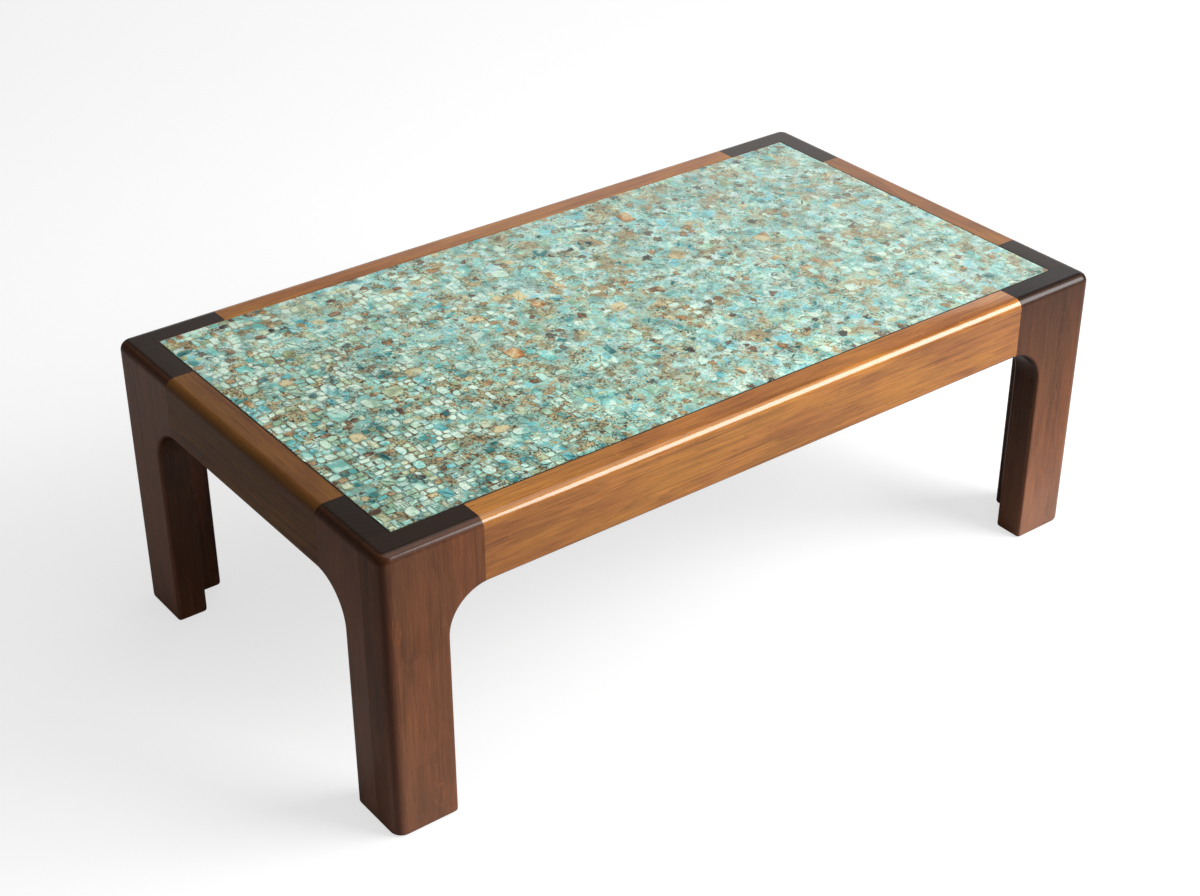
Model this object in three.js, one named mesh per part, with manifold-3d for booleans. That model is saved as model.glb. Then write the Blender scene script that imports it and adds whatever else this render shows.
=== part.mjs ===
// Low coffee table with a turquoise mosaic let into its top.
// Millimetres, +Z up, X along the long side, origin on the floor under the middle of the table.

import * as THREE from 'three';
import { mergeVertices } from 'three/addons/utils/BufferGeometryUtils.js';
import Module from 'manifold-3d';

const wasm = await Module();
wasm.setup();

// Overall size
const LENGTH = 1230;
const DEPTH = 685;
const HEIGHT = 430;

// The frame boards, which are all cut from stock of one thickness
const BOARD_THICKNESS = 47;
const LEG_WIDTH = 95;
const SHOULDER_WIDTH = 148;
const RAIL_HEIGHT = 92;
const ARCH_RADIUS = 60;
const TOP_ROUNDOVER = 14;
const CORNER_RADIUS = 14.5;
const GLUE_LINE = 0.3;

// The rebate round the inner top edge, and what lies in it
const REBATE_WIDTH = 4;
const MOSAIC_THICKNESS = 4;
const PANEL_THICKNESS = 18;
const INLAY_GAP = 0.8;
const REBATE_DEPTH = MOSAIC_THICKNESS + PANEL_THICKNESS + 2 * GLUE_LINE;

// How finely round stretches are divided
const ROUNDOVER_STEPS = 6;
const ARCH_STEPS = 10;

const HALF_LENGTH = LENGTH / 2;
const HALF_DEPTH = DEPTH / 2;
const RAIL_UNDERSIDE = HEIGHT - RAIL_HEIGHT;
const ARCH_CENTRE_OFFSET = LEG_WIDTH + ARCH_RADIUS;
const ARCH_CENTRE_HEIGHT = RAIL_UNDERSIDE - ARCH_RADIUS;
const POCKET_LENGTH = LENGTH - 2 * (BOARD_THICKNESS - REBATE_WIDTH);
const POCKET_DEPTH = DEPTH - 2 * (BOARD_THICKNESS - REBATE_WIDTH);

const FINISHES = {
  walnut: { color: '#6a4634', roughness: 0.42, metalness: 0 },
  teak: { color: '#a9713f', roughness: 0.35, metalness: 0 },
  plywood: { color: '#b9966a', roughness: 0.7, metalness: 0 },
  turquoise: { color: '#7fb9ae', roughness: 0.18, metalness: 0 },
};

// Points closer than this are one point
const MERGE_DISTANCE = 1e-4;

function toSolid(geometry) {
  const bare = geometry.clone();
  bare.deleteAttribute('normal');
  bare.deleteAttribute('uv');
  const merged = mergeVertices(bare, MERGE_DISTANCE);
  return new wasm.Manifold(new wasm.Mesh({
    numProp: 3,
    vertProperties: new Float32Array(merged.attributes.position.array),
    triVerts: new Uint32Array(merged.index.array),
  }));
}

function toGeometry(solid) {
  const mesh = solid.getMesh();
  const geometry = new THREE.BufferGeometry();
  geometry.setAttribute('position', new THREE.BufferAttribute(mesh.vertProperties, 3));
  geometry.setIndex(new THREE.BufferAttribute(mesh.triVerts, 1));
  geometry.computeVertexNormals();
  return geometry;
}

function boxSolid(low, high) {
  const size = high.map((value, i) => value - low[i]);
  const middle = high.map((value, i) => (value + low[i]) / 2);
  const geometry = new THREE.BoxGeometry(...size);
  geometry.translate(...middle);
  return toSolid(geometry);
}

function roundedRectangle(length, depth, radius) {
  const x = length / 2 - radius;
  const y = depth / 2 - radius;
  const outline = new THREE.Shape();
  outline.absarc(x, y, radius, 0, Math.PI / 2, false);
  outline.absarc(-x, y, radius, Math.PI / 2, Math.PI, false);
  outline.absarc(-x, -y, radius, Math.PI, 1.5 * Math.PI, false);
  outline.absarc(x, -y, radius, 1.5 * Math.PI, 2 * Math.PI, false);
  outline.closePath();
  return outline;
}

// The whole table as one block with its upright corners and top edge rounded.
// It goes on below the floor, where its lower rounding is cut away with the boards' ends.
function roundedBlock() {
  const below = 2 * TOP_ROUNDOVER;
  const geometry = new THREE.ExtrudeGeometry(roundedRectangle(LENGTH, DEPTH, CORNER_RADIUS), {
    depth: HEIGHT + below - 2 * TOP_ROUNDOVER,
    bevelEnabled: true,
    bevelThickness: TOP_ROUNDOVER,
    bevelSize: TOP_ROUNDOVER,
    bevelOffset: -TOP_ROUNDOVER,
    bevelSegments: ROUNDOVER_STEPS,
    curveSegments: ROUNDOVER_STEPS,
  });
  geometry.translate(0, 0, TOP_ROUNDOVER - below);
  return toSolid(geometry);
}

// Outline of a leg board seen square on. The outer edge is at 0 and the board reaches inwards.
function legOutline() {
  const seamSine = (ARCH_CENTRE_OFFSET - SHOULDER_WIDTH) / ARCH_RADIUS;
  const outline = new THREE.Shape();
  outline.moveTo(0, 0);
  outline.lineTo(LEG_WIDTH, 0);
  outline.absarc(ARCH_CENTRE_OFFSET, ARCH_CENTRE_HEIGHT, ARCH_RADIUS,
    Math.PI, Math.PI / 2 + Math.asin(seamSine), true);
  outline.lineTo(SHOULDER_WIDTH, HEIGHT);
  outline.lineTo(0, HEIGHT);
  outline.closePath();
  return outline;
}

// Outline of a rail seen square on, from seam to seam, with the last of the arch at each end.
function railOutline(span) {
  const seam = span / 2 - SHOULDER_WIDTH - GLUE_LINE;
  const arch = span / 2 - ARCH_CENTRE_OFFSET;
  const lean = Math.asin((seam - arch) / ARCH_RADIUS);
  const outline = new THREE.Shape();
  outline.moveTo(seam, HEIGHT);
  outline.lineTo(-seam, HEIGHT);
  outline.absarc(-arch, ARCH_CENTRE_HEIGHT, ARCH_RADIUS, Math.PI / 2 + lean, Math.PI / 2, true);
  outline.absarc(arch, ARCH_CENTRE_HEIGHT, ARCH_RADIUS, Math.PI / 2, Math.PI / 2 - lean, true);
  outline.closePath();
  return outline;
}

// A board standing on the floor in the XZ plane, its thickness running from y = 0 to +thickness.
function uprightBoard(outline, thickness) {
  const geometry = new THREE.ExtrudeGeometry(outline, {
    depth: thickness,
    bevelEnabled: false,
    curveSegments: ARCH_STEPS,
  });
  geometry.rotateX(Math.PI / 2);
  geometry.translate(0, thickness, 0);
  return geometry;
}

// Mirroring turns a surface inside out, so the triangles are wound the other way again.
function mirrored(geometry, alongX, alongY) {
  const copy = geometry.index ? geometry.toNonIndexed() : geometry.clone();
  copy.scale(alongX, alongY, 1);
  if (alongX * alongY > 0) {
    return copy;
  }
  const position = copy.attributes.position;
  const first = new THREE.Vector3();
  const second = new THREE.Vector3();
  for (let i = 0; i < position.count; i += 3) {
    first.fromBufferAttribute(position, i + 1);
    second.fromBufferAttribute(position, i + 2);
    position.setXYZ(i + 1, second.x, second.y, second.z);
    position.setXYZ(i + 2, first.x, first.y, first.z);
  }
  return copy;
}

const block = roundedBlock();
const pocket = boxSolid(
  [-POCKET_LENGTH / 2, -POCKET_DEPTH / 2, HEIGHT - REBATE_DEPTH],
  [POCKET_LENGTH / 2, POCKET_DEPTH / 2, HEIGHT + TOP_ROUNDOVER],
);

function finishedBoard(geometry) {
  return toGeometry(toSolid(geometry).intersect(block).subtract(pocket));
}

function addPart(group, name, geometry, finish) {
  const mesh = new THREE.Mesh(geometry, new THREE.MeshStandardMaterial(finish));
  mesh.name = name;
  group.add(mesh);
}

// The leg board in line with a long rail. It runs through to the end face of the table.
function sideLegBoard(endSign, sideSign) {
  const board = uprightBoard(legOutline(), BOARD_THICKNESS);
  board.translate(-HALF_LENGTH, -HALF_DEPTH, 0);
  return finishedBoard(mirrored(board, -endSign, -sideSign));
}

// The leg board in line with a short rail. It butts against the side leg board.
function endLegBoard(endSign, sideSign) {
  const sideBoardPlace = boxSolid(
    [-GLUE_LINE, -GLUE_LINE, -GLUE_LINE],
    [BOARD_THICKNESS + GLUE_LINE, BOARD_THICKNESS + GLUE_LINE, HEIGHT + GLUE_LINE],
  );
  const whole = toSolid(uprightBoard(legOutline(), BOARD_THICKNESS));
  const board = toGeometry(whole.subtract(sideBoardPlace));
  board.rotateZ(-Math.PI / 2);
  board.translate(-HALF_LENGTH, HALF_DEPTH, 0);
  return finishedBoard(mirrored(board, -endSign, sideSign));
}

function sideRail(sideSign) {
  const board = uprightBoard(railOutline(LENGTH), BOARD_THICKNESS);
  board.translate(0, -HALF_DEPTH, 0);
  return finishedBoard(mirrored(board, 1, -sideSign));
}

function endRail(endSign) {
  const board = uprightBoard(railOutline(DEPTH), BOARD_THICKNESS);
  board.rotateZ(-Math.PI / 2);
  board.translate(-HALF_LENGTH, 0, 0);
  return finishedBoard(mirrored(board, -endSign, 1));
}

function slab(thickness, top) {
  const geometry = new THREE.BoxGeometry(
    POCKET_LENGTH - 2 * INLAY_GAP,
    POCKET_DEPTH - 2 * INLAY_GAP,
    thickness,
  );
  geometry.translate(0, 0, top - thickness / 2);
  return geometry;
}

const ENDS = [['left', -1], ['right', 1]];
const SIDES = [['front', -1], ['back', 1]];

function buildTable() {
  const table = new THREE.Group();
  for (const [side, sideSign] of SIDES) {
    for (const [end, endSign] of ENDS) {
      const leg = `leg_${side}_${end}`;
      addPart(table, `${leg}_side_board`, sideLegBoard(endSign, sideSign), FINISHES.walnut);
      addPart(table, `${leg}_end_board`, endLegBoard(endSign, sideSign), FINISHES.walnut);
    }
    addPart(table, `rail_${side}`, sideRail(sideSign), FINISHES.teak);
  }
  for (const [end, endSign] of ENDS) {
    addPart(table, `rail_${end}`, endRail(endSign), FINISHES.teak);
  }
  const mosaicUnderside = HEIGHT - MOSAIC_THICKNESS;
  const panel = slab(PANEL_THICKNESS, mosaicUnderside - GLUE_LINE);
  addPart(table, 'top_panel', panel, FINISHES.plywood);
  addPart(table, 'turquoise_mosaic', slab(MOSAIC_THICKNESS, HEIGHT), FINISHES.turquoise);
  return table;
}

export default buildTable();
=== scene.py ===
"""Dresses a low coffee table: walnut legs, teak rails and a turquoise mosaic top."""

import math
import random

import bmesh
import bpy
from mathutils import Euler, Matrix, Vector, noise


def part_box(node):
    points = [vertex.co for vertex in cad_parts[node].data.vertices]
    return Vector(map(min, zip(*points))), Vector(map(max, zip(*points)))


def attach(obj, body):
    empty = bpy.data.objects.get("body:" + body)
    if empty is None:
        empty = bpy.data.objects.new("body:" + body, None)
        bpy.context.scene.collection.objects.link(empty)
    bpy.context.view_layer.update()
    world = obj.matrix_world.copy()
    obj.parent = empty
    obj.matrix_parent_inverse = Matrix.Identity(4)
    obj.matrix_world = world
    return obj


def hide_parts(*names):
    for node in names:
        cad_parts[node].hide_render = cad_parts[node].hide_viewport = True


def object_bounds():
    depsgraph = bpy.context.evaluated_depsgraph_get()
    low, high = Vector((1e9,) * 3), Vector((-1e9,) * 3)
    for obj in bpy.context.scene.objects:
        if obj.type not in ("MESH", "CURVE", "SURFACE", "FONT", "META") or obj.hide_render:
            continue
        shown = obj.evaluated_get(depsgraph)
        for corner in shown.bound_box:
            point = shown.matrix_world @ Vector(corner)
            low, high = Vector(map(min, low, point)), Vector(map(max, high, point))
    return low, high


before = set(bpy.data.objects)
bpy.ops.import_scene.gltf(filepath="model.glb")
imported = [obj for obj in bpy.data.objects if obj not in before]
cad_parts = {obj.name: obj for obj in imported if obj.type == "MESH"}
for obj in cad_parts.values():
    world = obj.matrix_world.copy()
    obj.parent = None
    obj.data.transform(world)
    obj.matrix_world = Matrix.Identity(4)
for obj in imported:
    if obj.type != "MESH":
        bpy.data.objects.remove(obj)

cad_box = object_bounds()

MM = 0.001
HALF_LENGTH, HALF_DEPTH, TOP = cad_box[1]

# The boards of the frame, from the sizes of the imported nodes
side_board_low, side_board_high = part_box("leg_front_left_side_board")
SHOULDER = side_board_high.x - side_board_low.x
THICKNESS = side_board_high.y - side_board_low.y
SEAM_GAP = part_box("leg_front_left_end_board")[0].y - side_board_high.y
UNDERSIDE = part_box("rail_front")[0].z
LEG_WIDTH = 95 * MM
ARCH_RADIUS = 60 * MM
ROUNDOVER = 14 * MM
CORNER = 18 * MM
EASE = 5.5 * MM
CRISP_EASE = 0.35 * MM

# The inlay that lies in the frame
mosaic_low, mosaic_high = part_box("turquoise_mosaic")
INLAY_GAP = 0.8 * MM
POCKET_EDGE = mosaic_low.x + HALF_LENGTH - INLAY_GAP
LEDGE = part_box("top_panel")[0].z - SEAM_GAP

# The photograph's viewpoint
CAMERA_PLACE = Vector((-1.6308, -2.1089, 1.8203))
CAMERA_TURN = Euler((1.0222, 0.0014, -0.6496))
CAMERA_LENS = 63.15
SENSOR_WIDTH = 36.0

ENDS = (("left", -1), ("right", 1))
SIDES = (("front", -1), ("back", 1))


def linked(name, mesh):
    piece = bpy.data.objects.new(name, mesh)
    bpy.context.scene.collection.objects.link(piece)
    return piece


def finished(name, bm, material):
    """Makes a scene object of a bmesh, its faces turned outwards."""
    bmesh.ops.recalc_face_normals(bm, faces=bm.faces[:])
    mesh = bpy.data.meshes.new(name)
    bm.to_mesh(mesh)
    bm.free()
    mesh.materials.append(material)
    return linked(name, mesh)


# Node helpers

def put(tree, kind, wires=None, **settings):
    """Adds a node. A wire's value is either a number or colour, or the socket that feeds it."""
    made = tree.nodes.new(kind)
    for name, value in settings.items():
        setattr(made, name, value)
    for socket, value in (wires or {}).items():
        if isinstance(value, bpy.types.NodeSocket):
            tree.links.new(value, made.inputs[socket])
        else:
            made.inputs[socket].default_value = value
    return made


def maths(tree, operation, first, second=0.0, clamp=False):
    return put(tree, "ShaderNodeMath", {0: first, 1: second}, operation=operation,
               use_clamp=clamp).outputs[0]


def blended(tree, share, first, second, how="MIX"):
    """Mixes two colours."""
    wires = {0: share, 6: first, 7: second}
    return put(tree, "ShaderNodeMix", wires, data_type="RGBA", blend_type=how).outputs[2]


def between(tree, value, low, high, to_low=0.0, to_high=1.0):
    """Stretches the range from low to high over the range from to_low to to_high."""
    wires = {"Value": value, "From Min": low, "From Max": high, "To Min": to_low, "To Max": to_high}
    return put(tree, "ShaderNodeMapRange", wires, interpolation_type="SMOOTHSTEP").outputs[0]


def stretched(tree, vector, x, y, z):
    wires = {0: vector, 1: (x, y, z)}
    return put(tree, "ShaderNodeVectorMath", wires, operation="MULTIPLY").outputs[0]


def cloud(tree, vector, seed, scale, detail=2.0, roughness=0.5, distortion=0.0):
    wires = {"Vector": vector, "W": seed, "Scale": scale, "Detail": detail,
             "Roughness": roughness, "Distortion": distortion}
    return put(tree, "ShaderNodeTexNoise", wires, noise_dimensions="4D").outputs["Fac"]


def cells(tree, vector, scale, **settings):
    return put(tree, "ShaderNodeTexVoronoi", {"Vector": vector, "Scale": scale}, **settings).outputs


def bent(tree, vector, scale, reach):
    """Shifts places over the surface at random, so that what is drawn there has uneven outlines."""
    bend = put(tree, "ShaderNodeTexNoise", {"Vector": vector, "Scale": scale, "Detail": 3.0})
    bend = put(tree, "ShaderNodeVectorMath", {0: bend.outputs["Color"], 1: (0.5, 0.5, 0.5)},
               operation="SUBTRACT").outputs[0]
    shift = stretched(tree, bend, reach, reach, 0.0)
    return put(tree, "ShaderNodeVectorMath", {0: vector, 1: shift}).outputs[0]


def axes(tree, vector):
    return put(tree, "ShaderNodeSeparateXYZ", {0: vector}).outputs


def channels(tree, colour):
    return put(tree, "ShaderNodeSeparateColor", {0: colour}).outputs


def attribute(tree, name):
    return put(tree, "ShaderNodeAttribute", attribute_name=name).outputs["Fac"]


def ramp(tree, value, stops, interpolation="LINEAR"):
    made = put(tree, "ShaderNodeValToRGB", {"Fac": value})
    scale = made.color_ramp
    scale.interpolation = interpolation
    while len(scale.elements) < len(stops):
        scale.elements.new(1.0)
    for element, (place, colour) in zip(scale.elements, stops):
        element.position = place
        element.color = colour
    return made.outputs["Color"]


def new_group(name, takes, gives):
    """A node group whose inputs are (name, kind, default) and whose outputs are (name, kind)."""
    tree = bpy.data.node_groups.new(name, "ShaderNodeTree")
    for label, kind, default in takes:
        socket = tree.interface.new_socket(label, in_out="INPUT", socket_type="NodeSocket" + kind)
        if default is not None:
            socket.default_value = default
    for label, kind in gives:
        tree.interface.new_socket(label, in_out="OUTPUT", socket_type="NodeSocket" + kind)
    inside = tree.nodes.new("NodeGroupInput").outputs
    outside = tree.nodes.new("NodeGroupOutput").inputs
    return tree, inside, outside


def placed(tree, group, wires):
    return put(tree, "ShaderNodeGroup", wires, node_tree=group).outputs


def new_material(name, **fixed):
    """A material with one Principled shader, whose fixed sockets are set on the shader itself."""
    material = bpy.data.materials.new(name)
    material.use_nodes = True
    tree = material.node_tree
    shader = tree.nodes["Principled BSDF"]
    for socket, value in fixed.items():
        shader.inputs[socket.replace("_", " ")].default_value = value
    return material, tree, shader


def grey(tree, value):
    return put(tree, "ShaderNodeCombineColor", {0: value, 1: value, 2: value}).outputs[0]


def srgb(red, green, blue):
    """A colour given as 0 to 255 on screen, as the linear light that the shader takes."""
    light = [(c / 255 / 12.92) if c <= 10 else ((c / 255 + 0.055) / 1.055) ** 2.4
             for c in (red, green, blue)]
    return (*light, 1.0)


# Wood

def wood_figure_group():
    """Figure of a sawn board whose grain runs along the Z of the vector it is given, in metres."""
    tree, takes, gives = new_group(
        "wood figure",
        [("Vector", "Vector", None), ("Board", "Float", 0.0), ("Ring Scale", "Float", 40.0)],
        [("Rings", "Float"), ("Mottle", "Float"), ("Streaks", "Float"), ("Fibres", "Float"),
         ("Pores", "Float"), ("Drift", "Float"), ("Plumes", "Float")])
    seed = maths(tree, "MULTIPLY", takes["Board"], 7.3)
    sideways = maths(tree, "MULTIPLY", maths(tree, "SINE", seed), 0.05)
    shift = put(tree, "ShaderNodeCombineXYZ", {"X": maths(tree, "ADD", sideways, 0.07),
                                               "Y": sideways, "Z": seed}).outputs[0]
    moved = put(tree, "ShaderNodeVectorMath", {0: takes["Vector"], 1: shift}).outputs[0]
    wander = put(tree, "ShaderNodeTexNoise", {"Vector": stretched(tree, moved, 3.0, 3.0, 1.0),
                                              "Scale": 2.6, "Detail": 2.0}).outputs["Color"]
    bent = put(tree, "ShaderNodeVectorMath", {0: wander, 1: (0.5, 0.5, 0.5)}, operation="SUBTRACT")
    bent = stretched(tree, bent.outputs[0], 0.035, 0.035, 0.0)
    trunk = put(tree, "ShaderNodeVectorMath", {0: stretched(tree, moved, 0.35, 1.0, 0.04), 1: bent})
    rings = put(tree, "ShaderNodeTexWave",
                {"Vector": trunk.outputs[0], "Scale": takes["Ring Scale"], "Distortion": 1.6,
                 "Detail": 3.0, "Detail Scale": 1.5, "Detail Roughness": 0.6},
                wave_type="RINGS", rings_direction="Z", wave_profile="SAW").outputs["Fac"]
    tree.links.new(rings, gives["Rings"])
    mottle = cloud(tree, stretched(tree, moved, 1.0, 1.0, 0.22), seed, 34.0, 4.0, 0.6, 0.6)
    tree.links.new(mottle, gives["Mottle"])
    streak = cloud(tree, stretched(tree, moved, 1.0, 1.0, 0.03), seed, 130.0, 3.0, 0.55, 0.4)
    tree.links.new(between(tree, streak, 0.54, 0.72), gives["Streaks"])
    fibre = cloud(tree, stretched(tree, moved, 1.0, 1.0, 0.025), seed, 480.0, 3.0, 0.66)
    tree.links.new(fibre, gives["Fibres"])
    pore = cloud(tree, stretched(tree, moved, 1.0, 1.0, 0.07), seed, 700.0, 1.0)
    tree.links.new(between(tree, pore, 0.64, 0.74), gives["Pores"])
    drift = cloud(tree, stretched(tree, moved, 1.0, 1.0, 0.3), seed, 16.0, 3.0, 0.5, 0.4)
    tree.links.new(between(tree, drift, 0.4, 0.64), gives["Drift"])
    plume = cloud(tree, stretched(tree, moved, 1.0, 1.0, 0.2), seed, 22.0, 4.0, 0.6, 1.2)
    plume = maths(tree, "ABSOLUTE", maths(tree, "SUBTRACT", plume, 0.52))
    plume = maths(tree, "MULTIPLY", between(tree, plume, 0.016, 0.0), between(tree, mottle, 0.46, 0.6))
    tree.links.new(plume, gives["Plumes"])
    return tree


def rounding_group():
    """How far a face turns away from the three axes, from 0 on a flat to 1 halfway round an edge."""
    tree, takes, gives = new_group("rounding", [("Normal", "Vector", None)],
                                   [("Rounded", "Float"), ("Upwards", "Float")])
    parts = axes(tree, takes["Normal"])
    sizes = [maths(tree, "ABSOLUTE", parts[i]) for i in range(3)]
    largest = maths(tree, "MAXIMUM", maths(tree, "MAXIMUM", sizes[0], sizes[1]), sizes[2])
    tree.links.new(between(tree, largest, 0.995, 0.74), gives["Rounded"])
    tree.links.new(parts[2], gives["Upwards"])
    return tree


WOOD_FIGURE = wood_figure_group()
ROUNDING = rounding_group()

# Turns that bring a board's length onto Z
ALONG_Z = (0.0, 0.0, 0.0)
ALONG_X = (0.0, math.pi / 2, 0.0)
ALONG_Y = (math.pi / 2, 0.0, 0.0)


def wood_material(name, turn, light, dark, streak, glow, end_grain, worn_edge, rings, roughness,
                  contrast, **gloss):
    """Wood with its grain along the given axis. An end grain is its two colours, and the painted rounding
    shade is the deeper colour painted on the roundings, which catch less sheen, and how strong it shows.
    Contrast is how far fibres darken and lighten the wood, and how strong the streaks and the pale plumes
    are."""
    material, tree, shader = new_material(name, IOR=1.4, **gloss)
    coordinates = put(tree, "ShaderNodeTexCoord").outputs
    turned = put(tree, "ShaderNodeMapping", {"Vector": coordinates["Object"], "Rotation": turn}).outputs[0]
    board = attribute(tree, "board")
    painted_shade = attribute(tree, "painted_shade")
    figure = placed(tree, WOOD_FIGURE, {"Vector": turned, "Board": board, "Ring Scale": rings})
    shape = placed(tree, ROUNDING, {"Normal": coordinates["Normal"]})
    mottle = between(tree, figure["Mottle"], 0.3, 0.7)
    depth = maths(tree, "MULTIPLY", figure["Rings"], 0.3)
    depth = maths(tree, "ADD", depth, maths(tree, "MULTIPLY", mottle, 0.6))
    colour = blended(tree, depth, light, dark)
    colour = blended(tree, maths(tree, "MULTIPLY", figure["Drift"], 0.5), colour, glow)
    colour = blended(tree, maths(tree, "MULTIPLY", figure["Streaks"], contrast[2]), colour, streak)
    colour = blended(tree, maths(tree, "MULTIPLY", figure["Plumes"], contrast[3]), colour, glow)
    colour = blended(tree, 1.0, colour, grey(tree, between(tree, figure["Fibres"], 0.3, 0.7, *contrast[:2])),
                     "MULTIPLY")
    colour = blended(tree, maths(tree, "MULTIPLY", figure["Pores"], 0.6), colour, streak)
    # Painted shading: the roundings, which catch less sheen, are painted in a deeper colour
    rounding_shade_share = maths(tree, "MULTIPLY", shape["Rounded"], worn_edge[1])
    colour = blended(tree, rounding_shade_share, colour, worn_edge[0])
    if end_grain:
        rim = blended(tree, figure["Rings"], end_grain[0], end_grain[1])
        colour = blended(tree, between(tree, shape["Upwards"], 0.05, 0.4, 0.0, 0.35), colour, rim)
        colour = blended(tree, between(tree, shape["Upwards"], 0.86, 0.995), colour, rim)
    # Painted shade: the board's painted shade attribute darkens or lightens its colour for how light falls
    # on it
    colour = blended(tree, 1.0, colour, grey(tree, painted_shade), "MULTIPLY")
    # Painted reflection of the pale floor, mixed in where the painted shade lightens a board
    colour = blended(tree, between(tree, painted_shade, 0.95, 1.6, 0.0, 0.3), colour, PAINTED_FLOOR_SHEEN)
    tree.links.new(colour, shader.inputs["Base Color"])
    gloss = between(tree, figure["Fibres"], 0.2, 0.8, roughness - 0.06, roughness + 0.08)
    tree.links.new(gloss, shader.inputs["Roughness"])
    relief = maths(tree, "SUBTRACT", maths(tree, "MULTIPLY", figure["Fibres"], 0.4), figure["Pores"])
    bump = put(tree, "ShaderNodeBump", {"Height": relief, "Strength": 0.12, "Distance": 0.0002})
    tree.links.new(bump.outputs[0], shader.inputs["Normal"])
    return material


# The grey of a painted reflection of the pale floor, which the wood of the most lightened boards is mixed
# towards
PAINTED_FLOOR_SHEEN = srgb(150, 128, 118)

WALNUT = wood_material(
    "oiled walnut", ALONG_Z, light=srgb(132, 83, 54), dark=srgb(98, 60, 41), streak=srgb(54, 32, 20),
    glow=srgb(144, 86, 50), end_grain=(srgb(47, 28, 15), srgb(35, 20, 10)),
    worn_edge=(srgb(86, 40, 6), 0.9), rings=44.0, roughness=0.38, contrast=(0.82, 1.16, 0.32, 0.7),
    Coat_Weight=0.28, Coat_Roughness=0.1, Specular_IOR_Level=0.26)
TEAK = {"light": srgb(188, 118, 52), "dark": srgb(138, 78, 34), "streak": srgb(92, 46, 18),
        "glow": srgb(202, 136, 50), "end_grain": None, "worn_edge": (srgb(204, 132, 30), 0.6),
        "rings": 30.0, "roughness": 0.4, "contrast": (0.72, 1.24, 0.5, 0.3)}
LACQUER = {"Coat_Weight": 1.0, "Coat_Roughness": 0.06, "Specular_IOR_Level": 0.3}
THIN_LACQUER = {"Coat_Weight": 0.4, "Coat_Roughness": 0.12, "Specular_IOR_Level": 0.3}
TEAK_FRONT = wood_material("lacquered teak, front rail", ALONG_X, **TEAK, **LACQUER)
TEAK_BACK = wood_material("lacquered teak, back rail", ALONG_X, **TEAK, **THIN_LACQUER)
TEAK_ENDS = wood_material("lacquered teak, short rails", ALONG_Y, **TEAK, **THIN_LACQUER)
PLYWOOD = wood_material(
    "bare plywood", ALONG_X, light=srgb(205, 172, 128), dark=srgb(186, 148, 104),
    streak=srgb(150, 112, 74), glow=srgb(205, 172, 128), end_grain=None,
    worn_edge=(srgb(205, 172, 128), 0.0), rings=16.0, roughness=0.7, contrast=(0.8, 1.18, 0.5, 0.0))


def near(value, target):
    return abs(value - target) < 0.02 * MM


def arc(centre_u, centre_z, radius, start, end, steps):
    """Points of an arc in the plane of the board, from one angle to another."""
    turn = [start + (end - start) * i / steps for i in range(steps + 1)]
    return [(centre_u + radius * math.cos(a), centre_z + radius * math.sin(a)) for a in turn]


def flat_board(outline, rebate_start):
    """A board in its own axes: X inwards along the frame, Y through its thickness, Z up.

    Its inner top edge is rebated from rebate_start on, for the panel."""
    wall = POCKET_EDGE
    bm = bmesh.new()
    face = bm.faces.new([bm.verts.new((u, 0.0, z)) for u, z in outline])
    thickened = bmesh.ops.extrude_face_region(bm, geom=[face])["geom"]
    corners = [e for e in thickened if isinstance(e, bmesh.types.BMVert)]
    bmesh.ops.translate(bm, verts=corners, vec=(0.0, wall, 0.0))
    for place, across in ((Vector((0, 0, LEDGE)), Vector((0, 0, 1))),
                          (Vector((rebate_start, 0, 0)), Vector((1, 0, 0)))):
        inner = [f for f in bm.faces if all(near(v.co.y, wall) for v in f.verts)]
        around = {e for f in inner for e in f.edges} | {v for f in inner for v in f.verts}
        bmesh.ops.bisect_plane(bm, geom=inner + list(around), plane_co=place, plane_no=across)
    inner = [f for f in bm.faces if all(near(v.co.y, wall) for v in f.verts)]
    kept = []
    for f in inner:
        middle = f.calc_center_median()
        if not (middle.z > LEDGE and middle.x > rebate_start):
            kept.append(f)
    thickened = bmesh.ops.extrude_face_region(bm, geom=kept)["geom"]
    corners = [e for e in thickened if isinstance(e, bmesh.types.BMVert)]
    bmesh.ops.translate(bm, verts=corners, vec=(0.0, THICKNESS - wall, 0.0))
    stale = [f for f in kept if f.is_valid]
    bmesh.ops.delete(bm, geom=stale, context="FACES_ONLY")
    needless = [e for e in bm.edges if all(near(v.co.y, wall) for v in e.verts)
                and len(e.link_faces) == 2 and e.calc_face_angle() < 0.01]
    bmesh.ops.dissolve_edges(bm, edges=needless, use_verts=True)
    return bm


def part_inward_face(bm):
    """Divides a leg board's inward face where the other leg board is glued to it."""
    inner = [f for f in bm.faces if all(near(v.co.y, THICKNESS) for v in f.verts)]
    around = {e for f in inner for e in f.edges} | {v for f in inner for v in f.verts}
    bmesh.ops.bisect_plane(bm, geom=inner + list(around), plane_co=(THICKNESS, 0, 0), plane_no=(1, 0, 0))


def edges_where(bm, test):
    return [e for e in bm.edges if test(*e.verts[0].co, *e.verts[1].co)]


def soften(bm, edges, width, segments):
    bmesh.ops.bevel(bm, geom=edges, offset=width, offset_type="OFFSET", segments=segments,
                    profile=0.5, affect="EDGES", material=-1, clamp_overlap=True)


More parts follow.
